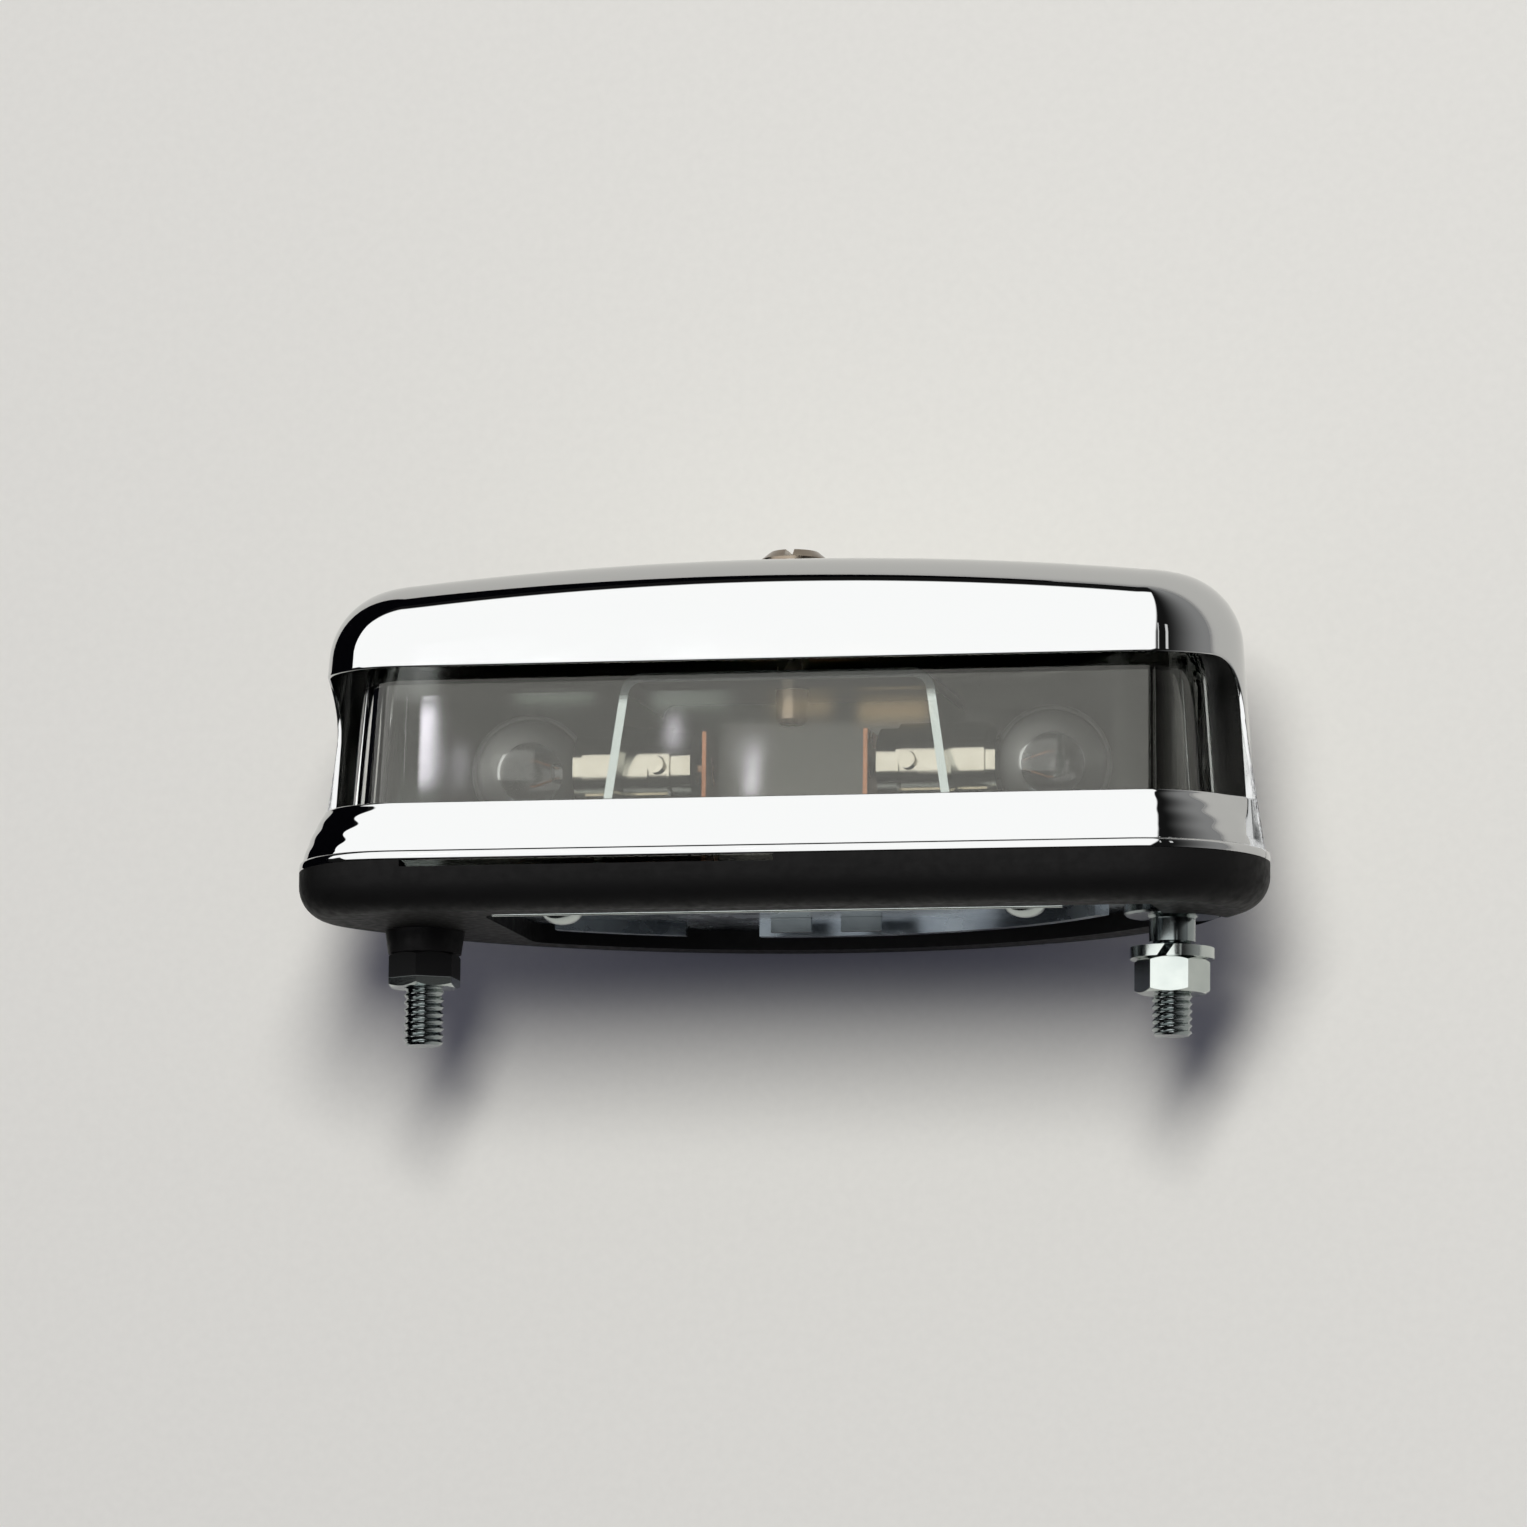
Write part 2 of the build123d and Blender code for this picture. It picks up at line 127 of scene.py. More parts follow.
# Cover: sheet, rim, wall and crown
sheet = 0.5
rim_low = 5.6
rim_top = rim_low + 1.0
rim_break = 0.15
rim_foot = 0.2
body_inset = 1.3            # from the rim's edge to the wall, and the radius of the flare between them
flare_run = (4, 86)         # part of the flare's quarter circle that is drawn, in degrees
flare_end = 0.05
flare_steps = 8
draft = math.radians(4.1)
wall_heights = (14.0, 11.0, 9.0)
crown_height = 41.75
crown_arch = 420.0
crown_dome = 150.0
crown_middle = 2.35         # top of the crown, along Z
crown_steps = 12
crown_edge = 9.0
edge_steps = 18
edge_rounds = 30            # rounds in which the rounded edge settles between wall and crown
edge_probe = 0.05
foot_points = 30            # points of each section below the rounded edge
lip_steps = 6
chrome_ends_from = 44.0           # the cover's inside is bright beyond this X
chrome_ends_blend = 1.5

# Window in the cover, with its lip above and the sill below
lip_height = 28.7
window_rear_left = 4.6      # the window runs back to this Z
window_rear_right = 10.6
window_corner = 7.0
window_cut = 0.002          # the two sections at a rear end lie this share of a step on either side of it
sill_low = 6.8
sill_top = 12.4
sill_inset = 0.38
sill_lean_low = math.radians(15)
sill_lean_high = math.radians(31)
sill_break = 0.12
sill_face_low = rim_top + 0.15
sill_inside_low = 7.0
sill_blend = 5.0            # run along Z in which the flank turns into the sill
sill_overlap = 0.6
sill_steps = 44
sill_roll_steps = 5
sill_inside_steps = 6
rib_count = 3
rib_height = 0.04

# Lens
lens_inset = 3.8
lens_end_inset = 2.0        # more inset where the lens faces sideways
lens_wall = 2.2
lens_low = 5.0
lens_high = 32.2
lens_rear = 3.0
lens_shoulder = 26.3        # above this the lens curves back behind the lip
lens_curve = 17.7           # twice the radius of that curve at the shoulder
lens_steps = 40

# Studs
plate_seat = 2.2
stud_place = 44.45
stud_radius = 2.35
stud_tip = -13.5
stud_sides = 40
tip_chamfer = 0.4
neck_radius = 2.7
neck_end = -2.6
neck_step = 0.05
neck_flare = 0.3
flange_radius = 5.6
flange_break = 0.25
flange_low_left = 1.2
flange_low_right = 0.4
thread_depth = 0.30
thread_pitch = 0.85
thread_rows = 10            # rows of points in each turn
thread_slope = 2.6          # fall of the thread's flank over one turn, in depths
thread_crest = 0.15

# Rivets, and the rolled front lip of the base plate
rivet_place = 27.5
rivet_front = 1.85
rivet_head = 2.5
rivet_shank = 1.5
rivet_drop = 1.9
rivet_edge = 0.3
rivet_top = 4.4
rivet_shoulder = 0.4
rivet_crest = 0.8
rivet_flat = 1.5
rivet_sides = 32
rivet_steps = 8
plate_lip_left = -33.0
plate_lip_right = 34.0
plate_lip_low = 0.12
plate_lip_front = 13.9
plate_lip_radius = 0.22
plate_lip_steps = 20

# Heights at which the finish of the left nut and of the bracket changes: the nut's rubber boot, and painted
# shade over the bracket's upper part
boot_end = -5.7
boot_blend = 0.1
shade_low = 24.6
shade_blend = 1.6

# Bulbs: lead-in wires and filament
bulb_height = 17.9
bulb_front = 3.0
lead_start = 27.6
lead_end = 31.2
lead_bend = 0.9
lead_straight = 0.8
lead_radius = 0.16
stem_spread = 0.5
bend_spread = 0.8
filament_spread = 1.5
filament_sag = 0.8
filament_coil = 0.3
filament_radius = 0.07
filament_turns = 14
filament_steps = 10
filament_sides = 6
wire_sides = 10

sharp_angle = math.radians(38)
weld_distance = 0.01 * MM


def make_camera():
    data = bpy.data.cameras.new("camera")
    data.lens = camera_lens
    data.sensor_width = camera_sensor
    camera = bpy.data.objects.new("camera", data)
    bpy.context.scene.collection.objects.link(camera)
    back = camera_back.normalized()
    right = (camera_right - back * camera_right.dot(back)).normalized()
    up = back.cross(right)
    turn = Matrix((right, up, back)).transposed().to_4x4()
    camera.matrix_world = Matrix.Translation(camera_place) @ turn
    bpy.context.scene.camera = camera


class Nodes:
    """Shorthand for building a node tree."""

    def __init__(self, tree):
        self.tree = tree
        tree.nodes.clear()

    def add(self, kind, **settings):
        node = self.tree.nodes.new(kind)
        for name, value in settings.items():
            setattr(node, name, value)
        return node

    def link(self, source, target):
        self.tree.links.new(source, target)

    def math(self, operation, first, second=None, third=None):
        node = self.add("ShaderNodeMath", operation=operation)
        for socket, value in zip(node.inputs, (first, second, third)):
            if value is None:
                continue
            if isinstance(value, (int, float)):
                socket.default_value = value
            else:
                self.link(value, socket)
        return node.outputs[0]

    def product(self, first, *others):
        for other in others:
            first = self.math("MULTIPLY", first, other)
        return first

    def total(self, first, *others):
        for other in others:
            first = self.math("ADD", first, other)
        return first

    def rest(self, share):
        """What a share leaves of one."""
        return self.math("SUBTRACT", 1.0, share)

    def ramp(self, factor, stops):
        """Colour between two stops, each a place and a colour."""
        node = self.add("ShaderNodeValToRGB")
        for element, (place, colour) in zip(node.color_ramp.elements, stops):
            element.position = place
            element.color = colour
        self.link(factor, node.inputs["Fac"])
        return node.outputs["Color"]

    def grey_ramp(self, factor, stops):
        return self.ramp(factor, [(place, (level, level, level, 1)) for place, level in stops])

    def step(self, value, low, high):
        """Smooth rise from 0 at low to 1 at high."""
        node = self.add("ShaderNodeMapRange", interpolation_type="SMOOTHSTEP")
        node.inputs["From Min"].default_value = low
        node.inputs["From Max"].default_value = high
        self.link(value, node.inputs["Value"])
        return node.outputs["Result"]

    def turn(self, angle, low, high):
        """Smooth rise from 0 to 1 between two angles in degrees."""
        return self.step(angle, math.radians(low), math.radians(high))

    def band(self, angle, low, high, edge):
        """One between two angles in degrees and zero outside them, with soft edges."""
        start = self.turn(angle, low - edge, low + edge)
        end = self.turn(angle, high - edge, high + edge)
        return self.math("SUBTRACT", start, end)

    def noise(self, scale, detail, vector=None):
        node = self.add("ShaderNodeTexNoise")
        node.inputs["Scale"].default_value = scale
        node.inputs["Detail"].default_value = detail
        node.inputs["Roughness"].default_value = 0.5
        self.link(vector if vector else self.place(), node.inputs["Vector"])
        return node.outputs["Fac"]

    def place(self, stretch=None):
        """Object coordinates in metres, stretched where asked."""
        source = self.add("ShaderNodeTexCoord").outputs["Object"]
        if stretch is None:
            return source
        node = self.add("ShaderNodeMapping")
        node.inputs["Scale"].default_value = stretch
        self.link(source, node.inputs["Vector"])
        return node.outputs["Vector"]

    def axis(self, name):
        """One of the object coordinates in metres."""
        node = self.add("ShaderNodeSeparateXYZ")
        self.link(self.place(), node.inputs[0])
        return node.outputs[name]

    def bump(self, height, distance, strength):
        node = self.add("ShaderNodeBump")
        node.inputs["Distance"].default_value = distance
        node.inputs["Strength"].default_value = strength
        self.link(height, node.inputs["Height"])
        return node.outputs["Normal"]


def glint_light(n, across, along, colour, glints):
    """Background for small far lights of one colour."""
    edge_across, edge_along = glint_edges
    total = 0.0
    for (turn, rise), (width, height), level in glints:
        sideways = n.band(across, turn - width / 2, turn + width / 2, edge_across)
        upward = n.band(along, rise - height / 2, rise + height / 2, edge_along)
        total = n.total(total, n.product(sideways, upward, level))
    light = n.add("ShaderNodeBackground")
    light.inputs["Color"].default_value = colour
    n.link(total, light.inputs["Strength"])
    return light.outputs[0]


def card_share(n, across, along):
    """One on the white card and zero beside it."""
    left = n.turn(n.total(across, n.product(along, card_left_slope)), *card_left)
    leaning = n.math("SUBTRACT", across, n.product(along, card_right_slope))
    right = n.rest(n.turn(leaning, *card_right))
    notch = n.product(n.rest(n.turn(across, *card_notch)), math.radians(card_notch_depth))
    near = n.turn(n.math("SUBTRACT", along, notch), *card_near)
    far = n.rest(n.turn(along, *card_far))
    return n.product(left, right, n.product(near, far))


def room_light(n, across, along):
    """Level of the room beside the card."""
    side = n.product(n.turn(across, *side_fade), side_level)
    bands = [n.band(across, low, high, streak_edge) for low, high in streaks_across]
    streaks = n.product(n.total(*bands), n.band(along, *streaks_along, streak_edge))
    return n.total(side, room_level, streaks)


def make_world():
    """Studio by direction. Metal, glass and the camera see the card, the room and the far lights, and
    everything else a low fill."""
    world = bpy.data.worlds.new("studio")
    bpy.context.scene.world = world
    world.use_nodes = True
    n = Nodes(world.node_tree)
    direction = n.add("ShaderNodeSeparateXYZ")
    n.link(n.add("ShaderNodeTexCoord").outputs["Generated"], direction.inputs[0])
    x, y, z = direction.outputs
    across = n.math("ARCTAN2", x, z)
    along = n.math("ARCTAN2", y, z)
    card = card_share(n, across, along)
    shade = n.product(n.rest(card), room_light(n, across, along))
    studio = n.add("ShaderNodeBackground")
    studio.inputs["Color"].default_value = (1, 1, 1, 1)
    n.link(n.total(n.product(card, card_level), shade), studio.inputs["Strength"])
    bright = studio.outputs[0]
    for colour, glints in far_lights.items():
        both = n.add("ShaderNodeAddShader")
        n.link(bright, both.inputs[0])
        n.link(glint_light(n, across, along, colour, glints), both.inputs[1])
        bright = both.outputs[0]
    fill = n.add("ShaderNodeBackground")
    fill.inputs["Color"].default_value = fill_colour
    fill.inputs["Strength"].default_value = fill_level
    path = n.add("ShaderNodeLightPath").outputs
    bounced = n.math("MAXIMUM", path["Is Glossy Ray"], path["Is Transmission Ray"])
    mix = n.add("ShaderNodeMixShader")
    n.link(n.math("MAXIMUM", path["Is Camera Ray"], bounced), mix.inputs[0])
    n.link(fill.outputs[0], mix.inputs[1])
    n.link(bright, mix.inputs[2])
    n.link(mix.outputs[0], n.add("ShaderNodeOutputWorld").inputs["Surface"])


def make_key():
    """Soft light overhead. The chrome shows the card in its place."""
    data = bpy.data.lights.new("key", "AREA")
    data.shape = "RECTANGLE"
    data.size, data.size_y = key_size
    data.energy = key_power
    key = bpy.data.objects.new("key", data)
    bpy.context.scene.collection.objects.link(key)
    direction = key_direction.normalized()
    key.location = direction * key_distance
    key.rotation_euler = direction.to_track_quat("Z", "Y").to_euler()
    key.visible_glossy = False
    key.visible_transmission = False


def surface(name, values):
    """Material with one principled shader, whose plain values are set on its own sockets."""
    material = bpy.data.materials.new(name)
    material.use_nodes = True
    n = Nodes(material.node_tree)
    shader = n.add("ShaderNodeBsdfPrincipled")
    for socket, value in values.items():
        shader.inputs[socket].default_value = value
    n.link(shader.outputs[0], n.add("ShaderNodeOutputMaterial").inputs["Surface"])
    return material, n, shader.inputs


def chrome():
    material, n, sockets = surface("chrome", {"Base Color": chrome_colour, "Metallic": 1.0})
    smudge = n.noise(scale=60, detail=4)
    n.link(n.grey_ramp(smudge, [(0.35, 0.015), (0.75, 0.05)]), sockets["Roughness"])
    ripple = n.noise(scale=140, detail=2)
    n.link(n.bump(ripple, distance=0.00002, strength=0.25), sockets["Normal"])
    return material


def rubber():
    material, n, sockets = surface("rubber", {"Specular IOR Level": 0.10})
    dark, worn = (0.004, 0.004, 0.004, 1), (0.011, 0.0105, 0.010, 1)
    line_weight = 3.0
    grain = n.noise(scale=900, detail=4)
    lines = n.noise(scale=120, detail=3, vector=n.place(stretch=(0.03, 1.0, 0.03)))
    n.link(n.ramp(lines, [(0.3, dark), (0.8, worn)]), sockets["Base Color"])
    n.link(n.grey_ramp(grain, [(0.3, 0.45), (0.7, 0.65)]), sockets["Roughness"])
    height = n.total(n.product(lines, line_weight), grain)
    n.link(n.bump(height, distance=0.00006, strength=0.5), sockets["Normal"])
    return material


def dull_inside():
    """Inside of the cover: dark and half-polished, with darker and paler blotches, and bright chrome towards
    both ends.
    """
    material, n, sockets = surface("dull_inside", {"Metallic": 1.0})
    dark, pale = (0.045, 0.045, 0.042, 1), (0.10, 0.098, 0.088, 1)
    blotches = n.noise(scale=28, detail=1)
    chrome_ends = n.step(n.math("ABSOLUTE", n.axis("X")), chrome_ends_from * MM, (chrome_ends_from + chrome_ends_blend) * MM)
    mix = n.add("ShaderNodeMix", data_type="RGBA")
    n.link(chrome_ends, mix.inputs["Factor"])
    n.link(n.ramp(blotches, [(0.35, dark), (0.7, pale)]), mix.inputs["A"])
    mix.inputs["B"].default_value = chrome_colour
    n.link(mix.outputs["Result"], sockets["Base Color"])
    n.link(n.grey_ramp(blotches, [(0.3, 0.10), (0.75, 0.2)]), sockets["Roughness"])
    return material


def thin_glass():
    """Blown glass, too thin to bend the view: clear when seen square on, and pale at its rim."""
    material, n, sockets = surface("bulb_glass", {"Base Color": (0.8, 0.8, 0.78, 1), "Metallic": 0.5})
    facing = n.add("ShaderNodeLayerWeight")
    facing.inputs["Blend"].default_value = 0.42
    n.link(facing.outputs["Fresnel"], sockets["Alpha"])
    haze = n.noise(scale=150, detail=3)
    n.link(n.grey_ramp(haze, [(0.4, 0.01), (0.8, 0.04)]), sockets["Roughness"])
    return material


def clear_lens():
    material, n, sockets = surface("clear_lens", {
        "Base Color": (0.86, 0.87, 0.85, 1), "Transmission Weight": 1.0, "IOR": 1.49,
        "Specular Tint": (1.0, 0.99, 0.92, 1)})
    haze = n.noise(scale=80, detail=3)
    n.link(n.grey_ramp(haze, [(0.4, 0.01), (0.8, 0.03)]), sockets["Roughness"])
    return material


def plated(name, low, high, rough_low, rough_high):
    """Plated or bare metal whose colour and polish vary from patch to patch."""
    material, n, sockets = surface(name, {"Metallic": 1.0})
    patches = n.noise(scale=220, detail=3)
    n.link(n.ramp(patches, [(0.3, low), (0.7, high)]), sockets["Base Color"])
    n.link(n.grey_ramp(patches, [(0.3, rough_low), (0.7, rough_high)]), sockets["Roughness"])
    n.link(n.bump(n.noise(scale=500, detail=2), distance=0.00001, strength=0.15), sockets["Normal"])
    return material


def split_metal(name, height, blend, above, above_metallic, above_rough):
    """Zinc plating below a height in millimetres, with another colour, polish and metal above it: the left
    nut's rubber boot, and painted shade on the bracket's upper part.
    """
    material, n, sockets = surface(name, {"Specular IOR Level": 0.15})
    upper = n.step(n.axis("Y"), height * MM, (height + blend) * MM)
    n.link(n.ramp(upper, [(0.0, zinc_colour), (1.0, above)]), sockets["Base Color"])
    n.link(n.math("MULTIPLY_ADD", upper, above_metallic - 1.0, 1.0), sockets["Metallic"])
    n.link(n.math("MULTIPLY_ADD", upper, above_rough - zinc_rough, zinc_rough), sockets["Roughness"])
    n.link(n.bump(n.noise(scale=500, detail=2), distance=0.00001, strength=0.15), sockets["Normal"])
    return material


def fibre_board():
    material, n, sockets = surface("fibre", {"Specular IOR Level": 0.3})
    dark, pale = (0.035, 0.022, 0.014, 1), (0.075, 0.05, 0.032, 1)
    weave = n.noise(scale=700, detail=4, vector=n.place(stretch=(1.0, 1.0, 0.2)))
    n.link(n.ramp(weave, [(0.3, dark), (0.75, pale)]), sockets["Base Color"])
    n.link(n.grey_ramp(weave, [(0.2, 0.5), (0.8, 0.75)]), sockets["Roughness"])
    n.link(n.bump(weave, distance=0.00004, strength=0.4), sockets["Normal"])
    return material


def dark_glass():
    material, n, sockets = surface("dark_glass", {"Coat Weight": 0.3})
    dark, pale = (0.008, 0.006, 0.012, 1), (0.03, 0.024, 0.034, 1)
    swirl = n.noise(scale=500, detail=3)
    n.link(n.ramp(swirl, [(0.3, dark), (0.8, pale)]), sockets["Base Color"])
    n.link(n.grey_ramp(swirl, [(0.3, 0.12), (0.8, 0.3)]), sockets["Roughness"])
    return material


def table_top():
    material, n, sockets = surface("table", {"Specular IOR Level": 0.0, "Emission Color": table_colour})
    dim = tuple(table_fleck * level for level in table_colour[:3]) + (1,)
    fleck = n.noise(scale=900, detail=4)
    n.link(n.ramp(fleck, [(0.3, dim), (0.7, table_colour)]), sockets["Base Color"])
    n.link(n.grey_ramp(fleck, [(0.3, 0.55), (0.7, 0.7)]), sockets["Roughness"])
    distance = n.add("ShaderNodeVectorMath", operation="LENGTH")
    n.link(n.place(), distance.inputs[0])
    mirrored = n.add("ShaderNodeLightPath").outputs["Is Glossy Ray"]
    glow = n.product(n.step(distance.outputs["Value"], *far_glow_fade), mirrored, far_glow)
    n.link(glow, sockets["Emission Strength"])
    return material


finishes = {
    "chrome": chrome(),
    "rubber": rubber(),
    "clear_lens": clear_lens(),
    "bulb_glass": thin_glass(),
    "zinc": plated("zinc", (0.42, 0.46, 0.44, 1), (0.54, 0.58, 0.55, 1), 0.10, 0.20),
    # Zinc of the studs, painted darker as shade: their sides mirror the shadowed table
    "zinc_darkened_as_shade": plated("zinc_darkened_as_shade", (0.22, 0.25, 0.25, 1), (0.32, 0.35, 0.345, 1), 0.10, 0.20),
    # Base plate: its own bluish zinc, painted darker as the shade of the table it mirrors
    "plate": plated("plate", (0.24, 0.27, 0.30, 1), (0.36, 0.40, 0.43, 1), 0.18, 0.32),
    "tinned": plated("tinned", (0.13, 0.145, 0.15, 1), (0.20, 0.22, 0.225, 1), 0.16, 0.28),
    "brown_steel": plated("brown_steel", (0.16, 0.125, 0.095, 1), (0.34, 0.29, 0.23, 1), 0.16, 0.32),
    "nickel": plated("nickel", (0.46, 0.425, 0.345, 1), (0.58, 0.545, 0.46, 1), 0.08, 0.18),
    "copper": plated("copper", (0.24, 0.105, 0.055, 1), (0.42, 0.21, 0.12, 1), 0.16, 0.32),
    "booted_nut": split_metal("booted_nut", boot_end, boot_blend, above=(0.006, 0.006, 0.006, 1),
                              above_metallic=0.0, above_rough=0.6),
    # Bracket: zinc below, painted dark above a height as shade under the lip
    "zinc_shaded_top": split_metal("zinc_shaded_top", shade_low, shade_blend, above=(0.06, 0.068, 0.066, 1),
                               above_metallic=1.0, above_rough=0.3),
    "fibre": fibre_board(),
    "dark_glass": dark_glass(),
}

node_finish = {
    "cover": "chrome",
    "gasket": "rubber",
    "lens": "clear_lens",
    "bulb_globe": "bulb_glass",
    "bulb_stem": "bulb_glass",
    "bulb_cap": "nickel",
    "holder_sleeve": "nickel",
    "bulb_contact": "nickel",
    "contact_blade": "copper",
    "feed_terminal": "tinned",
    "earth_terminal": "tinned",
    "base_plate": "plate",
    "nut_left": "booted_nut",
    "bulb_bracket": "zinc_shaded_top",
    "cover_screw": "brown_steel",
    "contact_insulator": "fibre",
    "bulb_insulator": "dark_glass",
}


def dress_nodes():
    """Every CAD node takes its finish, zinc where the table names none."""
    for name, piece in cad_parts.items():
        stem = name.removesuffix("_left").removesuffix("_right")
        finish = node_finish.get(name) or node_finish.get(stem, "zinc")
        piece.data.materials.clear()
        piece.data.materials.append(finishes[finish])


def link_piece(mesh, name):
    """Puts a mesh into the scene as a smooth piece of the lamp."""
    mesh.update()
    for face in mesh.polygons:
        face.use_smooth = True
    mesh.set_sharp_from_angle(angle=sharp_angle)
    piece = bpy.data.objects.new(name, mesh)
    bpy.context.scene.collection.objects.link(piece)
    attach(piece, "root")
    return piece


def loft(name, sections, around, materials, inside=None):
    """Mesh through equal sections of points in millimetres. The sections close into a ring where around is
    true, and otherwise each section is itself a closed loop with capped ends. inside(i, j) picks the second
    material."""
    count, levels = len(sections), len(sections[0])
    mesh = bpy.data.meshes.new(name)
    vertices = [Vector(point) * MM for section in sections for point in section]
    faces, marks = [], []
    for i in range(count if around else count - 1):
        for j in range(levels - 1 if around else levels):
            a, b = i * levels, (i + 1) % count * levels
            k = (j + 1) % levels
            faces.append((a + j, a + k, b + k, b + j))
            marks.append(1 if inside and inside(i, j) else 0)
    if not around:
        faces += [tuple(range(levels))[::-1], tuple((count - 1) * levels + j for j in range(levels))]
        marks += [0, 0]
    mesh.from_pydata(vertices, [], faces)
    for material in materials:
        mesh.materials.append(material)
    for face, mark in zip(mesh.polygons, marks):
        face.material_index = mark
    shape = bmesh.new()
    shape.from_mesh(mesh)
    bmesh.ops.remove_doubles(shape, verts=shape.verts, dist=weld_distance)
    bmesh.ops.recalc_face_normals(shape, faces=shape.faces)
    shape.to_mesh(mesh)
    shape.free()
    return link_piece(mesh, name)


def outline():
    """Stations round the base outline from the middle of the back: place (x, z) and outward way (x, z)."""
    corner_x, corner_z = base_half - corner_radius, front_reach - corner_radius
    turn = math.atan2(corner_x, corner_z - arc_centre)
    right = []
    for i in range(back_steps):
        angle = math.pi + (turn - math.pi) * i / back_steps
        way = (math.sin(angle), math.cos(angle))
        right.append((arc_radius * way[0], arc_centre + arc_radius * way[1], *way))
    for i in range(corner_steps):
        angle = turn * (1 - i / corner_steps)
        way = (math.sin(angle), math.cos(angle))
        right.append((corner_x + corner_radius * way[0], corner_z + corner_radius * way[1], *way))
    front = [(corner_x * (1 - 2 * i / front_steps), front_reach, 0.0, 1.0) for i in range(front_steps + 1)]
    left = [(-x, z, -a, b) for x, z, a, b in reversed(right[1:])]
    return right + front + left


def inset_point(station, inset, y):
    x, z, way_x, way_z = station
    return (x - way_x * inset, y, z - way_z * inset)


def wall_inset(y):
    return body_inset + (y - rim_low) * math.tan(draft)


def crown(x, z, drop):
    return crown_height - drop - x * x / (2 * crown_arch) - (z - crown_middle) ** 2 / (2 * crown_dome)


def crown_above(station, inset, drop):
    x, _, z = inset_point(station, inset, 0)
    return crown(x, z, drop)


def crown_edge_arc(station, drop):
    """Points of the rounded edge between wall and crown, from the crown down, drawn in by drop."""
    radius = crown_edge - drop
    lean = 0.0
    y = crown_height - crown_edge
    for _ in range(edge_rounds):
        inset = drop + wall_inset(y + radius * math.sin(draft)) + radius * math.cos(draft)
        touch = inset - radius * math.sin(lean)
        near = crown_above(station, touch - edge_probe, drop)
        far = crown_above(station, touch + edge_probe, drop)
        lean = math.atan((far - near) / (2 * edge_probe))
        y = (near + far) / 2 - radius * math.cos(lean)
    points = []
    for i in range(edge_steps + 1):
        angle = lean + (math.pi / 2 - draft - lean) * i / edge_steps
        points.append(inset_point(station, inset - radius * math.sin(angle), y + radius * math.cos(angle)))
    return points


def dome_top(edge, drop):
    """Points of the crown from its middle out to the start of the rounded edge."""
    x, _, z = edge
    points = []
    for i in range(crown_steps):
        k = i / crown_steps
        across, along = x * k, crown_middle + (z - crown_middle) * k
        points.append((across, crown(across, along, drop), along))
    return points


def flank_profile():
    """Foot of the body at the back and the sides as (inset, y): wall, hollow flare and rim edge."""
    points = [(wall_inset(y), y) for y in wall_heights]
    start, end = flare_run
    for i in range(flare_steps + 1):
        angle = math.radians(start + (end - start) * i / flare_steps)
        points.append((body_inset * math.cos(angle), rim_top + body_inset * (1 - math.sin(angle))))
    rim = [(flare_end, rim_top), (0.0, rim_top - rim_break), (0.0, rim_low + rim_foot), (rim_break, rim_low)]
    return points + rim


def window_rear(x):
    """Z of the window's rear end on this side of the lamp."""
    return window_rear_left if x < 0 else window_rear_right


def lip_low(x, z):
    """Lower edge of the cover over the window, which rounds down to the window's rear end."""
    centre = window_rear(x) + window_corner
    if z >= centre:
        return lip_height
    return lip_height - window_corner + math.sqrt(max(0.0, window_corner ** 2 - (z - centre) ** 2))


def wall_points(high, low, steps, last):
    """Points of the wall as (inset, y), down from a height in equal steps towards a lower one."""
    heights = [high + (low - high) * i / steps for i in range(1, last + 1)]
    return [(wall_inset(y), y) for y in heights]


def cover_section(station):
    """Outer face from the middle of the crown to the lip or the rim, then the inner face back again."""
    outer = crown_edge_arc(station, 0.0)
    inner = crown_edge_arc(station, sheet)
    high = outer[-1][1]
    x, z = station[:2]
    if z > window_rear(x):
        low = lip_low(x, z)
        steps = foot_points - lip_steps
        foot = wall_points(high, low, steps, steps)
        roll = sheet / 2
        for i in range(1, lip_steps + 1):
            angle = math.pi * i / lip_steps
            foot.append((wall_inset(low) + roll - roll * math.cos(angle), low - roll * math.sin(angle)))
    else:
        shape = flank_profile()
        steps = foot_points - len(shape)
        foot = wall_points(high, shape[0][1], steps, steps - 1)
        foot += shape + [(wall_inset(rim_low) + sheet, rim_low)]
    points = dome_top(outer[0], 0.0) + outer + [inset_point(station, *p) for p in foot]
    return points + inner[::-1] + dome_top(inner[0], sheet)[::-1]


def cover_stations():
    """Outline with two more stations close together at each rear end of the window, and where those are."""
    outer = outline()
    stations = []
    cuts = set()
    for i, station in enumerate(outer):
        before = outer[i - 1]
        rear = window_rear(station[0])
        if (before[1] > rear) != (station[1] > rear):
            k = (rear - before[1]) / (station[1] - before[1])
            cuts.add(len(stations))
            for shift in (-window_cut, window_cut):
                x, z, way_x, way_z = [a + (b - a) * (k + shift) for a, b in zip(before, station)]
                size = math.hypot(way_x, way_z)
                stations.append((x, z, way_x / size, way_z / size))
        stations.append(station)
    return stations, cuts


def make_cover():
    """Chrome shell, dull on its inside and on the cut edges at the window's rear ends."""
    stations, cuts = cover_stations()
    outer_levels = crown_steps + edge_steps + 1 + foot_points

    def dull(i, j):
        return j >= outer_levels - 1 or (i in cuts and j > outer_levels - foot_points)

    sections = [cover_section(station) for station in stations]
    cover = loft("cover_shell", sections, True, [finishes["chrome"], dull_inside()], dull)
    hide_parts("cover")


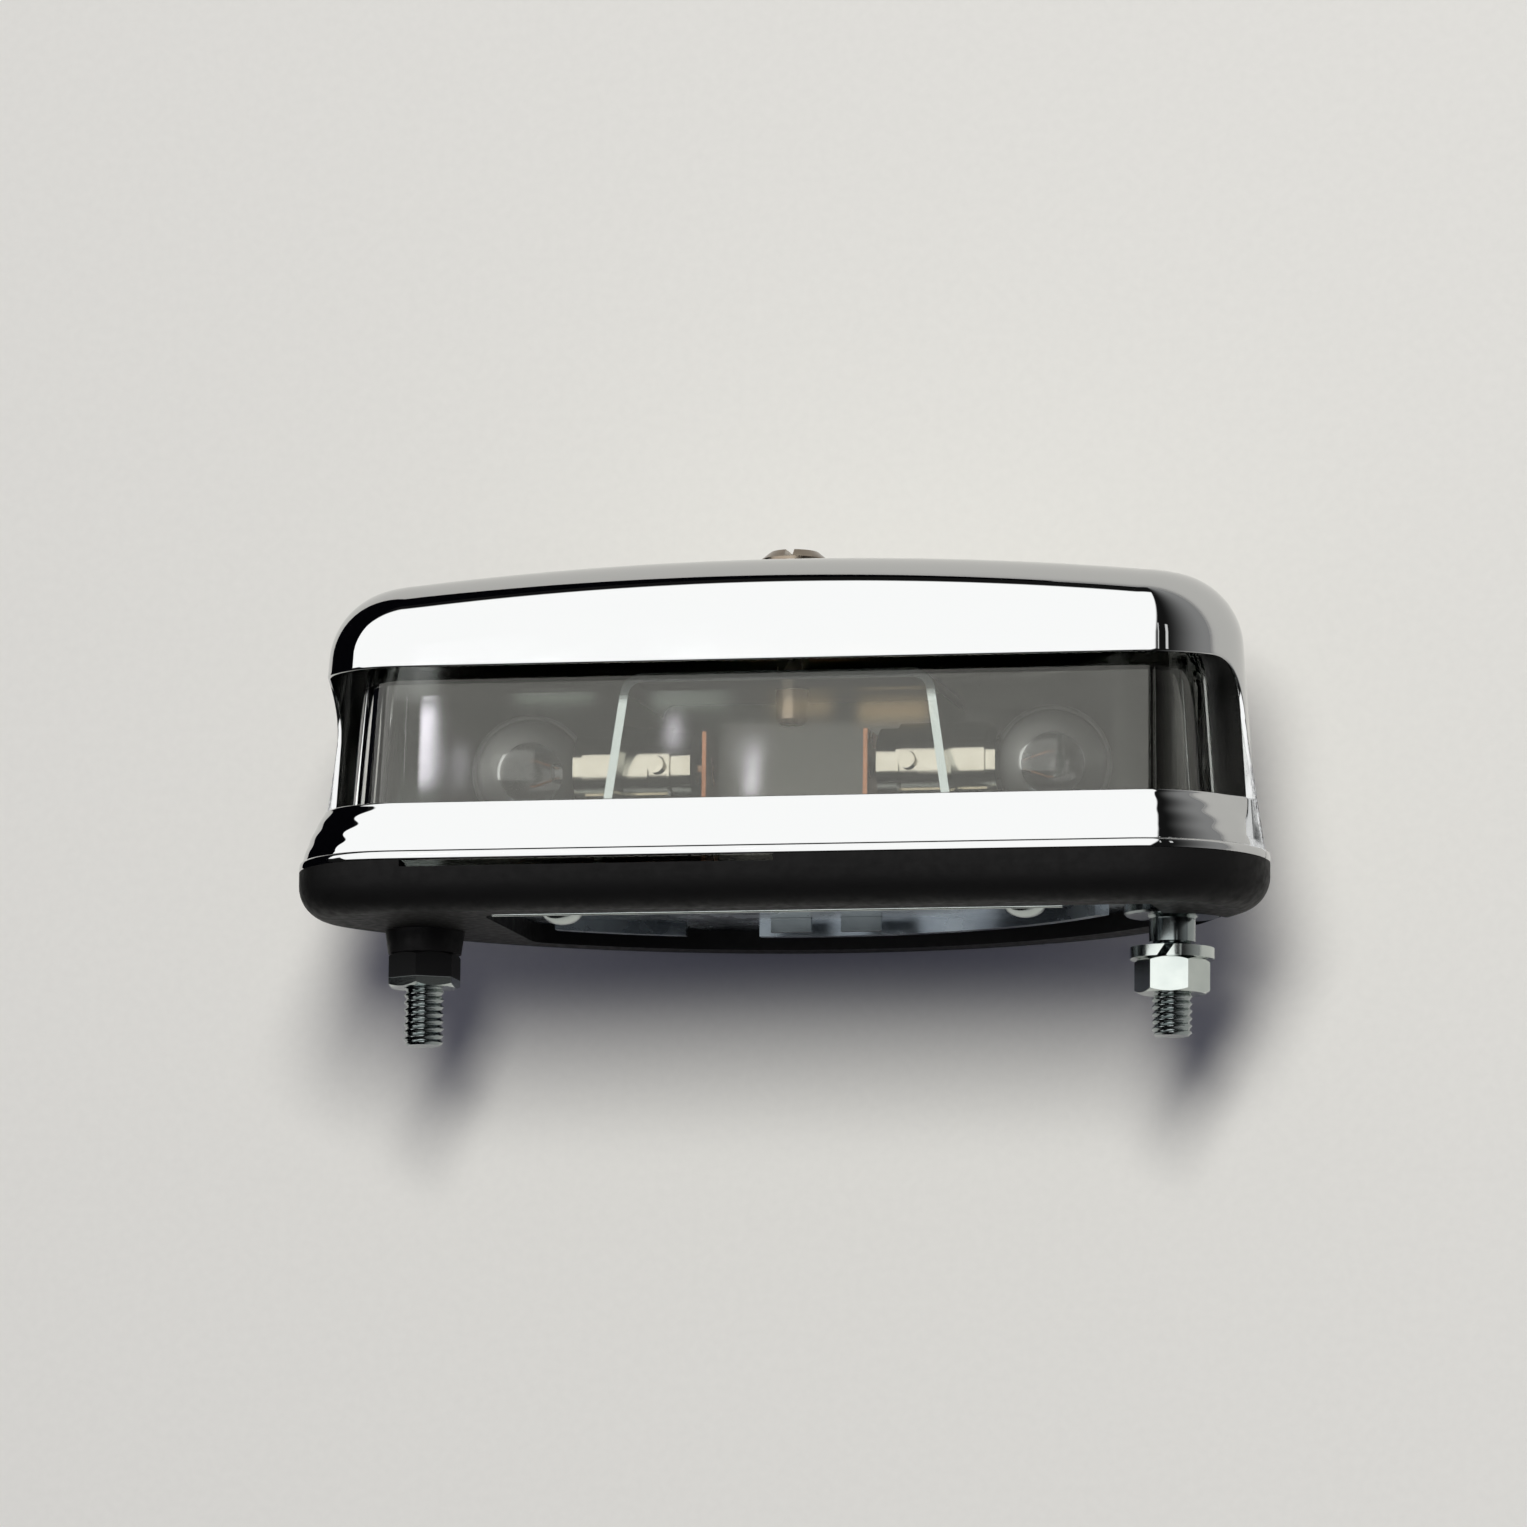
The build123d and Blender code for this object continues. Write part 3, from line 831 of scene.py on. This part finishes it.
def sill_outer(y):
    """Inset of the sill's face, which leans back more the higher it is and has three shallow ribs."""
    rise = max(0.0, y - sill_low)
    height = sill_top - sill_low
    slope_low, slope_high = math.tan(sill_lean_low), math.tan(sill_lean_high)
    lean = rise * slope_low + rise ** 2 / (2 * height) * (slope_high - slope_low)
    return sill_inset + lean - rib_height * math.sin(math.pi * rib_count * rise / height) ** 2


def flank_outer(y):
    """Inset of the flank's face at the same height, with its flare."""
    if y >= rim_top + body_inset:
        return wall_inset(y)
    rise = max(0.0, y - rim_top) / body_inset
    return body_inset * math.sqrt(max(0.0, 1 - (1 - rise) ** 2))


def sill_section(station):
    """Closed loop: rim edge, face, rolled top and the inside."""
    blend = min(1.0, max(0.0, (station[1] - window_rear(station[0])) / sill_blend))
    blend = blend * blend * (3 - 2 * blend)
    points = [(rim_break, rim_low), (0.0, rim_low + rim_foot), (0.0, rim_top - rim_foot),
              (sill_break, rim_top)]
    for i in range(sill_steps + 1):
        y = sill_face_low + (sill_top - sill_face_low) * i / sill_steps
        points.append((blend * sill_outer(y) + (1 - blend) * flank_outer(y), y))
    edge, top = points[-1]
    roll = sheet / 2
    for i in range(1, sill_roll_steps + 1):
        angle = math.pi * i / sill_roll_steps
        points.append((edge + roll - roll * math.cos(angle), top + roll * math.sin(angle)))
    for i in range(1, sill_inside_steps + 1):
        y = top + (rim_low - top) * i / sill_inside_steps
        sill = sill_outer(max(y, sill_inside_low))
        flank = flank_outer(max(y, rim_top + body_inset))
        points.append((blend * sill + (1 - blend) * flank + sheet, y))
    return [inset_point(station, *p) for p in points]


def make_sill():
    """Leaning sheet below the window, which grows out of the flank at both ends."""
    stations = [s for s in outline() if s[1] > window_rear(s[0]) - sill_overlap]
    sill = loft("cover_sill", [sill_section(s) for s in stations], False, [finishes["chrome"]])
    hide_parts("cover")


def lens_face(y):
    """Inset of the lens's outer face, which curves back above its shoulder."""
    rise = max(0.0, y - lens_shoulder)
    return lens_inset + (y - rim_low) * math.tan(draft) + rise ** 2 / lens_curve


def make_lens():
    """Moulded lens: a wrap-round wall whose upper edge curves back behind the lip."""
    heights = [lens_low + (lens_high - lens_low) * i / lens_steps for i in range(lens_steps + 1)]
    loop = [(lens_face(y), y) for y in heights] + [(lens_face(y) + lens_wall, y) for y in reversed(heights)]
    stations = [s for s in outline() if s[1] > lens_rear]
    sections = []
    for station in stations:
        more = lens_end_inset * station[2] ** 2
        sections.append([inset_point(station, inset + more, y) for inset, y in loop])
    lens = loft("lens_wall", sections, False, [finishes["clear_lens"]])
    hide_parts("lens")


def circle(sides):
    """Equal angles once round."""
    return [2 * math.pi * k / sides for k in range(sides)]


def tube(name, points, radius, finish, sides=wire_sides):
    """Round wire through points in millimetres."""
    path = [Vector(p) for p in points]
    sections = []
    side = Vector((0.0, 0.0, 1.0))
    for i, place in enumerate(path):
        ahead = (path[min(i + 1, len(path) - 1)] - path[max(i - 1, 0)]).normalized()
        side = (side - ahead * side.dot(ahead)).normalized()
        other = ahead.cross(side)
        sections.append([place + radius * (side * math.cos(a) + other * math.sin(a)) for a in circle(sides)])
    wire = loft(name, sections, False, [finishes[finish]])


def turned(profile, x, z, angle):
    """Profile of (radius, y) turned to an angle about an axis along Y."""
    return [(x + r * math.cos(angle), y, z + r * math.sin(angle)) for r, y in profile]


def thread(phase):
    """Depth of the thread's groove, from 0 on the crest to 1 at the root, at a turn's phase from 0 to 1."""
    return min(1.0, max(0.0, thread_slope * abs(phase - 0.5) - thread_crest))


def make_stud(name, side, flange_low):
    """Threaded stud with its neck and flange, turned about its own axis with a helical groove."""
    rows = int((neck_end - stud_tip) / thread_pitch * thread_rows)
    heights = [stud_tip + (neck_end - stud_tip) * i / rows for i in range(rows + 1)]
    neck = [(neck_radius, neck_end), (neck_radius, neck_end + neck_step),
            (neck_radius, flange_low - neck_flare), (neck_radius + neck_flare, flange_low)]
    flange = [(flange_radius - flange_break, flange_low), (flange_radius, flange_low + flange_break),
              (flange_radius, plate_seat), (0.0, plate_seat)]
    sections = []
    for angle in circle(stud_sides):
        profile = [(0.0, stud_tip), (stud_radius - tip_chamfer - thread_depth, stud_tip)]
        for y in heights:
            phase = (y / thread_pitch + angle / (2 * math.pi)) % 1.0
            chamfer = max(0.0, tip_chamfer - (y - stud_tip))
            profile.append((stud_radius - max(thread_depth * thread(phase), chamfer), y))
        sections.append(turned(profile + neck + flange, side * stud_place, 0.0, angle))
    stud = loft(name + "_threaded", sections, True, [finishes["zinc_darkened_as_shade"]])
    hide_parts(name)


def make_filament(name, side):
    """Two lead-in wires from the stem, with the coiled filament between their ends."""
    lead = [(lead_start, stem_spread), (lead_start + lead_bend, bend_spread),
            (lead_end - lead_straight, filament_spread), (lead_end, filament_spread)]
    for mark, way in (("upper", 1), ("lower", -1)):
        points = [(side * x, bulb_height + way * spread, bulb_front) for x, spread in lead]
        tube(f"lead_wire_{mark}_{name}", points, lead_radius, "copper")
    count = filament_turns * filament_steps
    points = []
    for i in range(count + 1):
        k = i / count
        angle = 2 * math.pi * i / filament_steps
        x = lead_end + filament_sag * math.sin(math.pi * k) + filament_coil * math.cos(angle)
        y = bulb_height + filament_spread * (2 * k - 1)
        points.append((side * x, y, bulb_front + filament_coil * math.sin(angle)))
    tube(f"filament_{name}", points, filament_radius, "zinc", filament_sides)


def make_rivet(name, side):
    """Rivet with a full lower head, which shows below the plate's front edge."""
    foot = plate_seat - rivet_drop
    crest = rivet_top + rivet_crest
    profile = [(0.0, foot)]
    for i in range(1, rivet_steps + 1):
        angle = math.pi / 2 * i / rivet_steps
        y = foot + (rivet_drop - rivet_edge) * (1 - math.cos(angle))
        profile.append((rivet_head * math.sin(angle), y))
    profile += [(rivet_head, plate_seat), (rivet_shank, plate_seat), (rivet_shank, rivet_top),
                (rivet_head, rivet_top), (rivet_head, rivet_top + rivet_shoulder), (rivet_flat, crest),
                (0.0, crest)]
    sections = [turned(profile, side * rivet_place, rivet_front, angle) for angle in circle(rivet_sides)]
    rivet = loft(name + "_domed", sections, True, [finishes["zinc"]])
    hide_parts(name)


def make_plate_lip():
    """Rolled front edge of the base plate, seen as a fine line along the gasket's opening."""
    step = (plate_lip_right - plate_lip_left) / plate_lip_steps
    points = [(plate_lip_left + step * i, plate_lip_low, plate_lip_front) for i in range(plate_lip_steps + 1)]
    tube("plate_lip", points, plate_lip_radius, "zinc")


def stage_card(name, corners, material):
    """Flat card of the studio, with its corners in metres."""
    mesh = bpy.data.meshes.new(name)
    mesh.from_pydata(corners, [], [(0, 1, 2, 3)])
    mesh.materials.append(material)
    card = bpy.data.objects.new(name, mesh)
    bpy.context.scene.collection.objects.link(card)
    return card


def make_flag(low):
    """Black card standing beside the lamp, which shows only in metal and glass."""
    material = surface("flag", {"Specular IOR Level": 0.0, "Base Color": flag_colour})[0]
    half, high = flag_length / 2, low + flag_height
    corners = [(flag_place, y, z) for y, z in ((-half, low), (half, low), (half, high), (-half, high))]
    flag = stage_card("flag", corners, material)
    flag.visible_camera = False
    flag.visible_diffuse = False
    flag.visible_shadow = False


def make_table(low):
    """Wide flat table under the lamp."""
    half = table_half
    corners = [(x, y, low) for x, y in ((-half, -half), (half, -half), (half, half), (-half, half))]
    stage_card("table", corners, table_top())


make_camera()
make_world()
make_key()
dress_nodes()
make_cover()
make_sill()
make_lens()
make_stud("stud_left", -1, flange_low_left)
make_stud("stud_right", 1, flange_low_right)
make_filament("left", -1)
make_filament("right", 1)
make_rivet("bracket_rivet_left", -1)
make_rivet("bracket_rivet_right", 1)
make_plate_lip()
table_height = cad_box[0][2]
make_flag(table_height)
make_table(table_height)
bpy.context.scene.view_settings.view_transform = "Standard"
